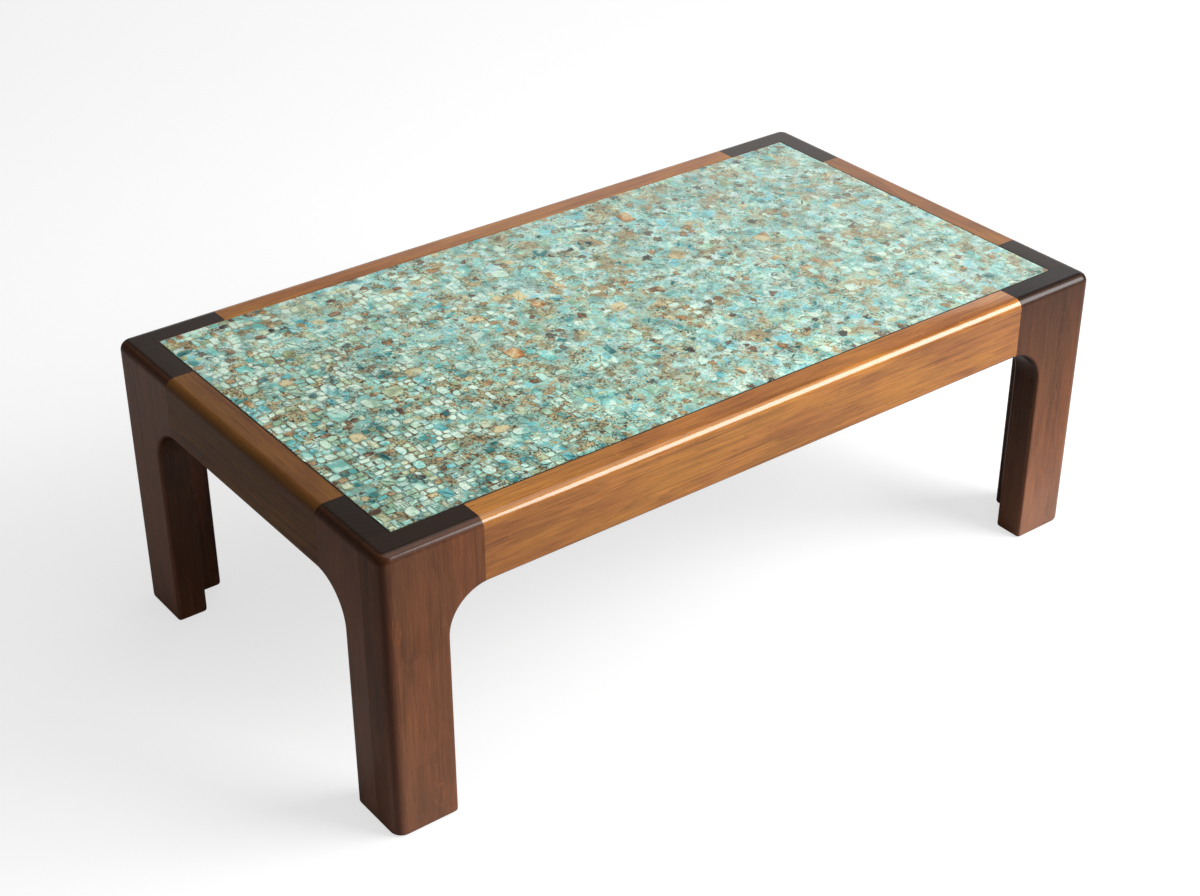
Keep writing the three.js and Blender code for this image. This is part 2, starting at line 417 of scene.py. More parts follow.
def round_board(bm, start, seam, with_corner):
    """Rounds the outer top edge and eases the others, but no edge of a glued joint."""
    def upright_corner(u1, v1, _z1, u2, v2, _z2):
        return with_corner and near(max(u1, u2, v1, v2), 0)

    def top_rim(u1, v1, z1, u2, v2, z2):
        along = near(v1, 0) and near(v2, 0)
        at_end = near(u1, 0) and near(u2, 0)
        round_corner = max(u1, u2, v1, v2) < CORNER + 0.1 * MM
        return near(z1, TOP) and near(z2, TOP) and (along or with_corner and (at_end or round_corner))

    def exposed(u1, v1, z1, u2, v2, z2):
        if near(u1, seam) and near(u2, seam) or near(u1, start) and near(u2, start) and not with_corner:
            return False
        if near(u1, -seam) and near(u2, -seam):
            return False
        inside = near(v1, THICKNESS) and near(v2, THICKNESS)
        outside = near(v1, 0) and near(v2, 0)
        on_floor = near(z1, 0) and near(z2, 0)
        underneath = max(z1, z2) < UNDERSIDE + 1 * MM and min(abs(u1), abs(u2)) > LEG_WIDTH - 0.1 * MM
        if start < 0:
            underneath = max(z1, z2) < UNDERSIDE + 1 * MM
        free = not inside or min(u1, u2) > THICKNESS - 0.1 * MM
        return (on_floor and free) or ((inside or outside) and underneath)

    def beside_inlay(u1, v1, z1, u2, v2, z2):
        return near(v1, POCKET_EDGE) and near(v2, POCKET_EDGE) and near(z1, TOP) and near(z2, TOP) \
            and max(abs(u1), abs(u2)) > POCKET_EDGE + 1 * MM

    soften(bm, edges_where(bm, upright_corner), CORNER, 10)
    soften(bm, edges_where(bm, top_rim), ROUNDOVER, 10)
    soften(bm, edges_where(bm, exposed), EASE, 4)
    soften(bm, edges_where(bm, beside_inlay), CRISP_EASE, 1)


def leg_outline(start):
    """A leg board seen square on, with the arch that carries it into the rail."""
    centre_u = LEG_WIDTH + ARCH_RADIUS
    centre_z = UNDERSIDE - ARCH_RADIUS
    seam_turn = math.pi / 2 + math.asin((centre_u - SHOULDER) / ARCH_RADIUS)
    return [(start, 0.0), (LEG_WIDTH, 0.0),
            *arc(centre_u, centre_z, ARCH_RADIUS, math.pi, seam_turn, 20),
            (SHOULDER, TOP), (start, TOP)]


def rail_outline(half_span):
    """A rail seen square on, with the last of the arch at both ends."""
    seam = half_span - SHOULDER - SEAM_GAP
    centre_u = half_span - LEG_WIDTH - ARCH_RADIUS
    centre_z = UNDERSIDE - ARCH_RADIUS
    lean = math.asin((seam - centre_u) / ARCH_RADIUS)
    upright = math.pi / 2
    return [(seam, TOP), (-seam, TOP),
            *arc(-centre_u, centre_z, ARCH_RADIUS, upright + lean, upright, 3),
            *arc(centre_u, centre_z, ARCH_RADIUS, upright, upright - lean, 3)]


# Painted shade, partly also each rail's own tone: what each rail's colour is multiplied by, at the floor if
# it reached down there, and at the top
RAIL_PAINTED_SHADES = {"front": (1.0, 0.97), "back": (0.8, 0.8), "left": (1.5, 0.4), "right": (0.62, 0.62)}

# Painted shade, for how light falls on each leg: what each leg board's colour is multiplied by at the foot
# and at the top, and besides on its cap and on its inward faces, where less light reaches
LEG_PAINTED_SHADES = {"leg_front_left_side": (1.24, 0.86, 0.95, 0.8), "leg_front_left_end": (1.8, 1.2, 0.5, 0.8),
              "leg_front_right_side": (1.55, 0.32, 1.0, 0.55), "leg_front_right_end": (1.1, 0.6, 1.0, 0.7),
              "leg_back_left_side": (1.85, 1.7, 0.45, 0.32), "leg_back_left_end": (1.9, 1.8, 0.45, 0.3),
              "leg_back_right_side": (1.0, 0.8, 1.0, 0.8), "leg_back_right_end": (1.0, 0.8, 1.0, 0.8)}


def set_board(name, node, bm, material, number, place, shades):
    """Finishes a board: smooth roundings beside flat faces, its own grain, in place of its node."""
    foot_shade, top_shade, cap_shade, inward_shade = shades
    # Painted shade: a colour factor at each corner, from the foot to the top, changed on the cap and darker
    # on the inward faces
    painted_shade = bm.verts.layers.float.new("painted_shade")
    for corner in bm.verts:
        corner.co.z = min(corner.co.z, TOP)
        corner[painted_shade] = foot_shade + (top_shade - foot_shade) * corner.co.z / TOP
        near_top = max(0.0, 1.0 - (TOP - corner.co.z) / ROUNDOVER)
        corner[painted_shade] *= 1.0 + (cap_shade - 1.0) * near_top ** 0.5
        if corner.co.z < UNDERSIDE and corner.co.x > THICKNESS - 0.1 * MM:
            corner[painted_shade] *= 1.0 + (inward_shade - 1.0) * min(1.0, corner.co.y / EASE)
    bmesh.ops.transform(bm, matrix=place, verts=bm.verts[:])
    for face in bm.faces:
        face.smooth = True
    piece = finished(name, bm, material)
    mesh = piece.data
    numbers = mesh.attributes.new("board", "FLOAT", "POINT")
    numbers.data.foreach_set("value", [number] * len(mesh.vertices))
    mesh.set_sharp_from_angle(angle=math.radians(50))
    weighted = piece.modifiers.new("even flats", "WEIGHTED_NORMAL")
    weighted.keep_sharp = True
    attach(piece, "root")
    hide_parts(node)
    return piece


def board_place(along, inwards, corner):
    """Takes a board's own X, its Y and its origin to the ones given."""
    return Matrix(((*along, 0), (*inwards, 0), (0, 0, 1, 0), (*corner, 1))).transposed()


def make_legs():
    number = 0
    for side, side_sign in SIDES:
        for end, end_sign in ENDS:
            leg = f"leg_{side}_{end}"
            corner = (end_sign * HALF_LENGTH, side_sign * HALF_DEPTH, 0)
            lengthways = (-end_sign, 0, 0)
            crossways = (0, -side_sign, 0)
            for kind, start, along, inwards in (("side", 0.0, lengthways, crossways),
                                                ("end", THICKNESS + SEAM_GAP, crossways, lengthways)):
                number += 1
                bm = flat_board(leg_outline(start), POCKET_EDGE)
                part_inward_face(bm)
                round_board(bm, start, SHOULDER, kind == "side")
                set_board(f"walnut_{leg}_{kind}", f"{leg}_{kind}_board", bm, WALNUT, number,
                          board_place(along, inwards, corner), LEG_PAINTED_SHADES[f"{leg}_{kind}"])


def make_rails():
    rails = [(side, HALF_LENGTH, TEAK_FRONT if side == "front" else TEAK_BACK,
              board_place((1, 0, 0), (0, -sign, 0), (0, sign * HALF_DEPTH, 0))) for side, sign in SIDES]
    rails += [(end, HALF_DEPTH, TEAK_ENDS,
               board_place((0, 1, 0), (-sign, 0, 0), (sign * HALF_LENGTH, 0, 0))) for end, sign in ENDS]
    for number, (where, half_span, material, place) in enumerate(rails, 20):
        seam = half_span - SHOULDER - SEAM_GAP
        bm = flat_board(rail_outline(half_span), -half_span)
        round_board(bm, -seam, seam, False)
        set_board(f"teak_rail_{where}", f"rail_{where}", bm, material, number, place,
                  (*RAIL_PAINTED_SHADES[where], 1.0, 1.0))


# Stone

# The chips stand back from the near edges, where a dark line of resin shows beside the frame
BORDER = 1.3 * MM
FIELD_LOW = mosaic_low + Vector((BORDER, BORDER, 0.0))
FIELD_HIGH = mosaic_high - Vector((0.1 * MM, 0.1 * MM, 0.0))


def speck_group():
    """Small eyes of host rock, each with a dark rim and a tan or brown heart."""
    tree, takes, gives = new_group("specks", [("Vector", "Vector", None)],
                                   [("Mask", "Float"), ("Colour", "Color")])
    spots = cells(tree, bent(tree, takes["Vector"], 150.0, 0.024), 54.0)
    chance = channels(tree, spots["Color"])
    gathered = cloud(tree, takes["Vector"], 23.0, 16.0, 2.0, 0.5)
    luck = maths(tree, "ADD", chance[0], between(tree, gathered, 0.36, 0.64, -0.3, 0.35))
    size = between(tree, luck, 0.36, 1.1, 0.0, 0.42)
    share = put(tree, "ShaderNodeMath", {0: spots["Distance"], 1: maths(tree, "MAXIMUM", size, 0.001)},
                operation="DIVIDE").outputs[0]
    tree.links.new(between(tree, share, 1.1, 0.9), gives["Mask"])
    heart = ramp(tree, chance[1], [(0.0, srgb(54, 46, 42)), (0.12, srgb(126, 86, 54)),
                                   (0.4, srgb(176, 132, 78)), (0.72, srgb(150, 146, 104))], "CONSTANT")
    rim = between(tree, share, 0.6, 1.0, 0.0, 0.92)
    tree.links.new(blended(tree, rim, heart, srgb(44, 34, 30)), gives["Colour"])
    return tree


def gloom(tree, place):
    """The darker areas that run through chips and bed alike."""
    drift = cloud(tree, place, 9.0, 42.0, 3.0, 0.55, 0.5)
    wide = cloud(tree, place, 6.0, 11.0, 2.0, 0.5)
    return grey(tree, maths(tree, "MULTIPLY", between(tree, drift, 0.34, 0.54, 0.7, 1.1),
                            between(tree, wide, 0.38, 0.62, 0.92, 1.08)))


def gravel_group():
    """Crushed stone set in resin: fragments of all the kinds of stone, and finer grit between them."""
    tree, takes, gives = new_group("gravel", [("Vector", "Vector", None), ("Warmth", "Float", 0.0),
                                              ("Softness", "Float", 0.0)],
                                   [("Colour", "Color"), ("Polish", "Float")])
    place = bent(tree, takes["Vector"], 110.0, 0.009)
    patch = cloud(tree, takes["Vector"], 5.0, 26.0, 3.0, 0.6, 0.4)
    broad = cloud(tree, takes["Vector"], 41.0, 9.0, 2.0, 0.5)
    warmth = maths(tree, "ADD", takes["Warmth"], between(tree, broad, 0.38, 0.62, -0.14, 0.14))
    warmth = maths(tree, "ADD", warmth, between(tree, patch, 0.36, 0.66, -0.16, 0.2))

    chance = channels(tree, cells(tree, place, 125.0)["Color"])
    haze = cloud(tree, takes["Vector"], maths(tree, "MULTIPLY", chance[1], 40.0), 240.0, 4.0, 0.62, 0.5)
    pick = maths(tree, "ADD", chance[0], between(tree, haze, 0.3, 0.7, -0.12, 0.12))
    pick = maths(tree, "SUBTRACT", pick, warmth)
    stones = ramp(tree, pick, [(0.0, srgb(96, 74, 52)), (0.1, srgb(146, 114, 74)),
                               (0.2, srgb(188, 164, 116)), (0.3, srgb(172, 184, 144)),
                               (0.42, srgb(128, 194, 178)), (0.6, srgb(158, 212, 198)),
                               (0.78, srgb(188, 222, 206)), (0.92, srgb(118, 196, 198))])
    luck = channels(tree, cells(tree, place, 420.0)["Color"])[0]
    tan = ramp(tree, luck, [(0.0, srgb(56, 44, 34)), (0.15, srgb(112, 88, 58)), (0.32, srgb(162, 140, 96)),
                            (0.54, srgb(192, 180, 136)), (0.76, srgb(154, 172, 138))], "CONSTANT")
    green = ramp(tree, luck, [(0.0, srgb(54, 66, 58)), (0.13, srgb(96, 158, 146)),
                              (0.34, srgb(144, 196, 180)), (0.72, srgb(180, 212, 192))], "CONSTANT")
    clusters = cloud(tree, takes["Vector"], 14.0, 62.0, 3.0, 0.6, 0.4)
    warm = between(tree, maths(tree, "ADD", clusters, maths(tree, "MULTIPLY", warmth, 0.3)), 0.52, 0.59)
    grit = blended(tree, warm, green, tan)
    seam = cells(tree, place, 125.0, feature="DISTANCE_TO_EDGE")["Distance"]
    gritty = maths(tree, "ADD", patch, maths(tree, "MULTIPLY", takes["Warmth"], 0.5))
    gritty = between(tree, gritty, 0.5, 0.57)
    gritty = maths(tree, "MAXIMUM", gritty, between(tree, seam, 0.09, 0.03, 0.0, 0.7))
    colour = blended(tree, gritty, stones, grit)
    slabs = put(tree, "ShaderNodeTexVoronoi", {"Vector": place, "Scale": 40.0, "Smoothness": 0.35},
                feature="SMOOTH_F1").outputs["Color"]
    slab = maths(tree, "ADD", channels(tree, slabs)[0], between(tree, haze, 0.3, 0.7, -0.16, 0.16))
    slab = maths(tree, "SUBTRACT", slab, warmth)
    soft = ramp(tree, slab, [(0.0, srgb(166, 142, 100)), (0.12, srgb(192, 182, 144)),
                             (0.24, srgb(170, 192, 166)), (0.36, srgb(116, 190, 188)),
                             (0.56, srgb(168, 212, 202)), (0.76, srgb(216, 230, 220)),
                             (0.92, srgb(122, 200, 208))])
    soft = blended(tree, between(tree, clusters, 0.42, 0.58, 0.1, 0.7), soft, grit)
    colour = blended(tree, takes["Softness"], colour, soft)
    shadow = grey(tree, between(tree, haze, 0.32, 0.6, 0.8, 1.12))
    colour = blended(tree, 1.0, colour, shadow, "MULTIPLY")
    tree.links.new(blended(tree, 1.0, colour, gloom(tree, takes["Vector"]), "MULTIPLY"), gives["Colour"])
    tree.links.new(haze, gives["Polish"])
    return tree


# The colour of a painted sheen, which the stones' colours are mixed towards at the far right, where the top
# looks milky
PAINTED_SHEEN = srgb(160, 176, 168)


def painted_sheen_share(tree, corner):
    return between(tree, corner, 0.5, 1.3, 0.0, 0.3)


def stone_group():
    """Colour of one chip: its own tone, cloudy inside, stained and veined by the rock it came from, and
    mixed towards a painted sheen.
    """
    tree, takes, gives = new_group(
        "stone",
        [("Vector", "Vector", None), ("Chip", "Float", 0.0), ("Paleness", "Float", 0.0),
         ("Tone", "Color", None), ("Pale", "Color", None), ("Stain", "Color", None),
         ("Cloudiness", "Float", 0.5), ("Staining", "Float", 0.5), ("Specks", "Float", 0.0),
         ("Rim", "Float", 0.0), ("Painted Sheen", "Float", 0.0)],
        [("Colour", "Color"), ("Polish", "Float")])
    seed = maths(tree, "MULTIPLY", takes["Chip"], 97.0)
    haze = cloud(tree, takes["Vector"], seed, 190.0, 4.0, 0.62, 0.6)
    share = maths(tree, "MULTIPLY", between(tree, haze, 0.4, 0.68), takes["Cloudiness"])
    drift = cloud(tree, takes["Vector"], 9.0, 42.0, 3.0, 0.55, 0.5)
    share = maths(tree, "ADD", share, between(tree, drift, 0.36, 0.64, -0.6, 0.55))
    share = maths(tree, "ADD", share, takes["Paleness"], clamp=True)
    colour = blended(tree, share, takes["Tone"], takes["Pale"])
    colour = blended(tree, 1.0, colour, gloom(tree, takes["Vector"]), "MULTIPLY")
    deep = cloud(tree, takes["Vector"], maths(tree, "ADD", seed, 31.0), 260.0, 3.0, 0.6)
    deep = between(tree, deep, 0.56, 0.72)
    darker = blended(tree, 1.0, takes["Tone"], (0.58, 0.7, 0.68, 1.0), "MULTIPLY")
    colour = blended(tree, maths(tree, "MULTIPLY", deep, takes["Cloudiness"]), colour, darker)
    blot = between(tree, cloud(tree, takes["Vector"], 3.0, 95.0, 5.0, 0.66, 0.8), 0.57, 0.66)
    fleck = between(tree, cloud(tree, takes["Vector"], seed, 420.0, 2.0, 0.6), 0.6, 0.68)
    stain = maths(tree, "MAXIMUM", maths(tree, "MULTIPLY", blot, 0.6), maths(tree, "MULTIPLY", fleck, 0.55))
    stain = maths(tree, "MULTIPLY", stain, takes["Staining"])
    colour = blended(tree, stain, colour, takes["Stain"])
    crust = between(tree, cloud(tree, takes["Vector"], 17.0, 80.0, 2.0, 0.5), 0.4, 0.56, 0.15, 0.9)
    crust = maths(tree, "MULTIPLY", crust, between(tree, takes["Rim"], 0.45, 0.95))
    colour = blended(tree, crust, colour, srgb(54, 42, 32))
    specks = placed(tree, SPECKS, {"Vector": takes["Vector"]})
    speckled = maths(tree, "MULTIPLY", specks["Mask"], takes["Specks"])
    colour = blended(tree, speckled, colour, specks["Colour"])
    # Painted sheen: mixed towards a pale colour at the far right
    tree.links.new(blended(tree, takes["Painted Sheen"], colour, PAINTED_SHEEN), gives["Colour"])
    tree.links.new(haze, gives["Polish"])
    return tree


SPECKS = speck_group()
GRAVEL = gravel_group()
STONE = stone_group()

# The waxed shine of the whole inlay
POLISH = {"Coat_Weight": 0.15, "Coat_Roughness": 0.25, "Specular_IOR_Level": 0.3, "IOR": 1.45}


def from_near_corner(tree, place):
    """Distance over the top from the front left corner of the inlay, in metres."""
    return put(tree, "ShaderNodeVectorMath", {0: place, 1: (FIELD_LOW.x, FIELD_LOW.y, TOP)},
               operation="DISTANCE").outputs["Value"]


def stone_material(name, tones, pale, stain, cloudiness, staining):
    material, tree, shader = new_material(name, **POLISH)
    place = put(tree, "ShaderNodeTexCoord").outputs["Object"]
    chip = attribute(tree, "chip")
    corner = from_near_corner(tree, place)
    edging = between(tree, corner, 0.3, 0.9, 1.0, 0.3)
    stone = placed(tree, STONE, {"Vector": place, "Chip": chip, "Paleness": attribute(tree, "paleness"),
                                 "Tone": ramp(tree, chip, tones), "Pale": pale, "Stain": stain,
                                 "Cloudiness": cloudiness, "Staining": staining,
                                 "Specks": between(tree, corner, 0.2, 0.6, 0.0, 0.9),
                                 "Rim": maths(tree, "MULTIPLY", attribute(tree, "rim"), edging),
                                 "Painted Sheen": painted_sheen_share(tree, corner)})
    tree.links.new(stone["Colour"], shader.inputs["Base Color"])
    tree.links.new(between(tree, stone["Polish"], 0.3, 0.7, 0.36, 0.52), shader.inputs["Roughness"])
    return material


def resin_material():
    """The bed of the chips: crushed stone in resin, darker in the tidy corner's joints."""
    material, tree, shader = new_material("resin and crushed stone", **POLISH)
    place = put(tree, "ShaderNodeTexCoord").outputs["Object"]
    corner = from_near_corner(tree, place)
    parts = axes(tree, place)
    along = maths(tree, "SUBTRACT", parts[0], FIELD_LOW.x)
    gravel = placed(tree, GRAVEL, {"Vector": place, "Warmth": between(tree, along, 0.1, 0.6, 0.12, 0.02),
                                   "Softness": between(tree, corner, 0.3, 0.7)})
    specks = placed(tree, SPECKS, {"Vector": place})
    speckled = maths(tree, "MULTIPLY", specks["Mask"], between(tree, corner, 0.2, 0.6, 0.2, 0.95))
    colour = blended(tree, speckled, gravel["Colour"], specks["Colour"])
    colour = blended(tree, between(tree, corner, 0.1, 0.4, 0.34, 0.0), colour, srgb(54, 45, 34))
    # Painted sheen at the far right
    colour = blended(tree, painted_sheen_share(tree, corner), colour, PAINTED_SHEEN)
    inwards = [maths(tree, "SUBTRACT", parts[i], mosaic_low[i]) for i in range(2)]
    border = maths(tree, "LESS_THAN", maths(tree, "MINIMUM", *inwards), BORDER + 0.2 * MM)
    colour = blended(tree, border, colour, srgb(26, 22, 16))
    tree.links.new(colour, shader.inputs["Base Color"])
    tree.links.new(between(tree, gravel["Polish"], 0.3, 0.7, 0.36, 0.52), shader.inputs["Roughness"])
    return material


STONES = {
    "turquoise": stone_material(
        "turquoise chips",
        [(0.0, srgb(48, 132, 130)), (0.1, srgb(88, 180, 176)), (0.26, srgb(122, 206, 196)),
         (0.48, srgb(154, 218, 202)), (0.66, srgb(182, 220, 190)), (0.84, srgb(156, 200, 164)),
         (0.95, srgb(118, 202, 202)), (1.0, srgb(88, 186, 192))],
        srgb(210, 232, 214), srgb(140, 118, 78), 0.7, 1.1),
    "mint": stone_material(
        "pale green chips",
        [(0.0, srgb(160, 176, 128)), (0.5, srgb(156, 190, 158)), (1.0, srgb(190, 180, 132))],
        srgb(206, 218, 186), srgb(120, 96, 60), 0.65, 1.4),
    "tan": stone_material(
        "tan chips",
        [(0.0, srgb(198, 186, 140)), (0.4, srgb(176, 146, 98)), (0.8, srgb(150, 112, 68)),
         (1.0, srgb(184, 118, 56))],
        srgb(210, 200, 156), srgb(96, 68, 44), 0.8, 1.5),
    "brown": stone_material(
        "brown host rock",
        [(0.0, srgb(118, 88, 64)), (0.5, srgb(84, 58, 44)), (1.0, srgb(138, 98, 62))],
        srgb(176, 150, 112), srgb(46, 32, 26), 0.7, 0.8),
    "dark": stone_material(
        "dark host rock",
        [(0.0, srgb(48, 42, 38)), (0.5, srgb(54, 40, 36)), (1.0, srgb(40, 110, 116))],
        srgb(110, 140, 134), srgb(24, 22, 22), 0.6, 0.5),
}

JOINTS = (0.12 * MM, 0.7 * MM)
ROW_HEIGHTS = (9.0 * MM, 13.5 * MM)
CHIP_WIDTHS = (7.5 * MM, 17.5 * MM)
BIG_CHIP = 260 * MM * MM
CRUMB = 3.4 * MM
CHIP_DEPTH = 1.6 * MM
CHIP_DROP = (0.1 * MM, 0.2 * MM)
CHIP_LEAN = 0.008
STEPS_UP = 0.08 * MM
RESIN_DROP = 0.35 * MM
PEBBLE_CORNERS = 10

# How far inwards and up a chip's chamfer goes, and then its dark rim
CHAMFER = (0.2 * MM, 0.04 * MM)
RIM = (1.9 * MM, 0.03 * MM)

# The rows are neat near the front left corner, this far along and across, and along the edges
NEAT_REACH = (420 * MM, 300 * MM)
NEAT_EDGE = 25 * MM

# How far rows wander and chips stand crooked elsewhere, and how close to an edge they do so less
WANDER = 6 * MM
CROOKEDNESS = 2.4 * MM
STRAIGHT_EDGE = 20 * MM

# The share of the places without a chip that are filled with crumbs
CRUMBLED = 0.16

# The least room between two pieces that take up several rows
SPARE = 6 * MM

# Pieces that take up several rows: how many are tried, the rows, and the widths
TALL_PIECES = ((900, 2, (7.5 * MM, 11.0 * MM)), (330, 2, (13.0 * MM, 19.0 * MM)),
               (70, 2, (20.0 * MM, 28.0 * MM)), (26, 3, (22.0 * MM, 32.0 * MM)))

# How far back each shape's corners are rounded, and in how many steps
ROUNDINGS = {"tiles": (1.6 * MM, 2), "pebbles": None, "crumbs": (0.9 * MM, 1)}


def patchiness(x, y, size, layer):
    """A smooth field from about -1 to 1 that gathers like stones into patches."""
    return noise.noise(Vector((x / size, y / size, layer)))


def from_edge(x, y):
    return min(x - FIELD_LOW.x, FIELD_HIGH.x - x, y - FIELD_LOW.y, FIELD_HIGH.y - y)


def rightwards(x, reach):
    """0 at the left edge of the chips, and 1 from the given distance on."""
    return min(1.0, (x - FIELD_LOW.x) / reach)


def tidiness(x, y):
    """1 where the chips were laid in neat rows, near the front left corner, down to 0."""
    from_corner = math.hypot((x - FIELD_LOW.x) / NEAT_REACH[0], (y - FIELD_LOW.y) / NEAT_REACH[1])
    return max(0.0, 1.0 - from_corner, 0.6 - from_edge(x, y) / NEAT_EDGE)


def graininess(x, y):
    """Above 0 where crushed brown and tan stone was strewn instead of chips."""
    return patchiness(x, y, 0.042, 3.0) + 0.5 * patchiness(x, y, 0.016, 8.0) \
        + 0.4 * patchiness(x, y, 0.13, 15.0)


def coverage(x, y):
    """The share of places that hold a chip. Crushed stone shows in the others."""
    return 0.94 - 0.56 * rightwards(x, 0.5) + 0.06 * tidiness(x, y) - 1.4 * max(0.0, graininess(x, y))


def pick_stone(rng, x, y, small):
    """The kind of stone of one chip. Brown and dark ones grow rare to the right."""
    to_the_right = rightwards(x, 0.5)
    grain = graininess(x, y) - 0.12 * to_the_right
    darkness = patchiness(x, y, 0.03, 40.0)
    if small:
        weights = {"turquoise": 0.36 - 0.25 * grain, "mint": 0.12, "tan": 0.24 + 0.3 * grain,
                   "brown": 0.24 + 0.34 * grain, "dark": 0.12 + 0.16 * darkness}
    else:
        weights = {"turquoise": 0.74, "mint": 0.12, "tan": 0.05 + 0.25 * grain,
                   "brown": (0.085 + 0.25 * grain) * (1.0 - 0.75 * to_the_right),
                   "dark": (0.016 + 0.06 * darkness) * (1.0 - 0.8 * to_the_right)}
    names = list(weights)
    return rng.choices(names, [max(0.0, weights[n]) for n in names])[0]


def portions(rng, start, end, smallest, largest):
    """Divides a stretch at random into parts of about the sizes given."""
    count = max(1, round((end - start) / (0.5 * (smallest + largest))))
    shares = [rng.uniform(smallest, largest) for _ in range(count)]
    edges = [start]
    for share in shares:
        edges.append(edges[-1] + share * (end - start) / sum(shares))
    return edges


def lay_out_rows(rng):
    """The rectangle of each piece: rows of chips, and between them pieces that span several rows."""
    lines = portions(rng, FIELD_LOW.y, FIELD_HIGH.y, *ROW_HEIGHTS)
    rows = len(lines) - 1
    taken = [[] for _ in range(rows)]
    cells = []
    for tries, spans, widths in reversed(TALL_PIECES):
        for _ in range(tries):
            row = rng.randrange(0, rows - spans)
            width = rng.uniform(*widths)
            x = rng.uniform(FIELD_LOW.x, FIELD_HIGH.x - width)
            covered = [span for r in range(row, row + spans) for span in taken[r]]
            if any(x < b + SPARE and a < x + width + SPARE for a, b in covered):
                continue
            if spans * width > 40 * MM and rng.random() < 1.6 * tidiness(x, lines[row]):
                continue
            for r in range(row, row + spans):
                taken[r].append((x, x + width))
            cells.append((x, x + width, lines[row], lines[row + spans]))
    for row in range(rows):
        at = FIELD_LOW.x
        for a, b in sorted(taken[row]) + [(FIELD_HIGH.x, FIELD_HIGH.x)]:
            if a - at > 1 * MM:
                edges = portions(rng, at, a, *CHIP_WIDTHS)
                cells += [(l, r, lines[row], lines[row + 1]) for l, r in zip(edges, edges[1:])]
            at = b
    return cells


def wandered(x, y):
    """Bends the rows a little, least of all near the edges and in the tidy corner."""
    free = (1.0 - tidiness(x, y)) * min(1.0, max(0.0, from_edge(x, y)) / STRAIGHT_EDGE)
    far = WANDER * free
    close = CROOKEDNESS * free
    return Vector((x + far * patchiness(x, y, 0.055, 20.0) + close * patchiness(x, y, 0.013, 21.0),
                   y + far * patchiness(x, y, 0.055, 30.0) + close * patchiness(x, y, 0.013, 31.0), 0.0))


def tile_outline(rng, cell, loose, joint):
    """A chip's four corners, each drawn in at random from the corners of its place."""
    left, right, low, high = cell
    half = joint / 2
    corners = []
    for at_right, at_top in ((0, 0), (1, 0), (1, 1), (0, 1)):
        pull_x = half + rng.uniform(0, loose) * (right - left)
        pull_y = half + rng.uniform(0, loose) * (high - low)
        corners.append(wandered(right - pull_x if at_right else left + pull_x,
                                high - pull_y if at_top else low + pull_y))
    return corners


def pebble_outline(rng, cell, loose, joint):
    """A rounded stone that about fills its place, drawn in at random all round."""
    left, right, low, high = cell
    squareness = rng.uniform(3.0, 7.0)
    first = rng.random()
    corners = []
    for i in range(PEBBLE_CORNERS):
        turn = 2 * math.pi * (i + first + rng.uniform(-0.22, 0.22)) / PEBBLE_CORNERS
        across = math.cos(turn)
        upwards = math.sin(turn)
        reach = (abs(across) ** squareness + abs(upwards) ** squareness) ** (-1 / squareness)
        reach *= 0.5 * (1.0 - rng.uniform(0.0, 1.2 * loose))
        corners.append(wandered((left + right) / 2 + reach * across * (right - left - joint),
                                (low + high) / 2 + reach * upwards * (high - low - joint)))
    return corners


def set_stones(name, kind, outlines, rounding):
    """Joins the chips of one kind of stone. Each is a closed slip of stone with its top polished."""
    bm = bmesh.new()
    layer = bm.verts.layers.float.new("chip")
    paleness = bm.verts.layers.float.new("paleness")
    rim = bm.verts.layers.float.new("rim")
    rng = random.Random(len(outlines))
    for tone, paleness_and_sheen, outline in outlines:
        drop = rng.uniform(*CHIP_DROP)
        lean_x = rng.uniform(-CHIP_LEAN, CHIP_LEAN)
        lean_y = rng.uniform(-CHIP_LEAN, CHIP_LEAN)
        middle = sum(outline, Vector()) / len(outline)
        corners = []
        for point in outline:
            lift = (point.x - middle.x) * lean_x + (point.y - middle.y) * lean_y
            height = min(TOP - STEPS_UP, TOP - drop + lift)
            corner = bm.verts.new((point.x, point.y, height))
            corner[layer] = tone
            corner[paleness] = paleness_and_sheen
            corners.append(corner)
        bm.faces.new(corners)
    if rounding:
        bmesh.ops.bevel(bm, geom=bm.verts[:], offset=rounding[0], offset_type="OFFSET", segments=rounding[1],
                        profile=0.5, affect="VERTICES", material=-1, clamp_overlap=True)
    for face in bm.faces:
        if face.normal.z < 0:
            face.normal_flip()
    thickened = bmesh.ops.extrude_face_region(bm, geom=bm.faces[:])["geom"]
    upper = [e for e in thickened if isinstance(e, bmesh.types.BMFace)]
    lower = {v for f in bm.faces for v in f.verts} - {v for f in upper for v in f.verts}
    bmesh.ops.translate(bm, verts=list(lower), vec=(0.0, 0.0, -CHIP_DEPTH))
    if "crumbs" not in name:
        bmesh.ops.inset_individual(bm, faces=upper, thickness=CHAMFER[0], depth=CHAMFER[1])
        for corner in bm.verts:
            corner[rim] = 1.0
        bmesh.ops.inset_individual(bm, faces=upper, thickness=RIM[0], depth=RIM[1])
        for face in upper:
            for corner in face.verts:
                corner[rim] = 0.0
                corner[paleness] += 0.2
    for corner in bm.verts:
        corner.co.z = min(corner.co.z, TOP)
    piece = finished(name, bm, STONES[kind])
    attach(piece, "root")
    return piece


def make_bed():
    bed = bmesh.new()
    bmesh.ops.create_cube(bed, size=1.0)
    size = mosaic_high - mosaic_low
    size.z -= RESIN_DROP
    middle = (mosaic_low + mosaic_high) / 2
    middle.z -= RESIN_DROP / 2
    bmesh.ops.transform(bed, matrix=Matrix.Translation(middle) @ Matrix.Diagonal((*size, 1.0)),
                        verts=bed.verts[:])
    soften(bed, bed.edges[:], CRISP_EASE, 2)
    resin = finished("mosaic_bed", bed, resin_material())
    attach(resin, "root")
    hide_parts("turquoise_mosaic")


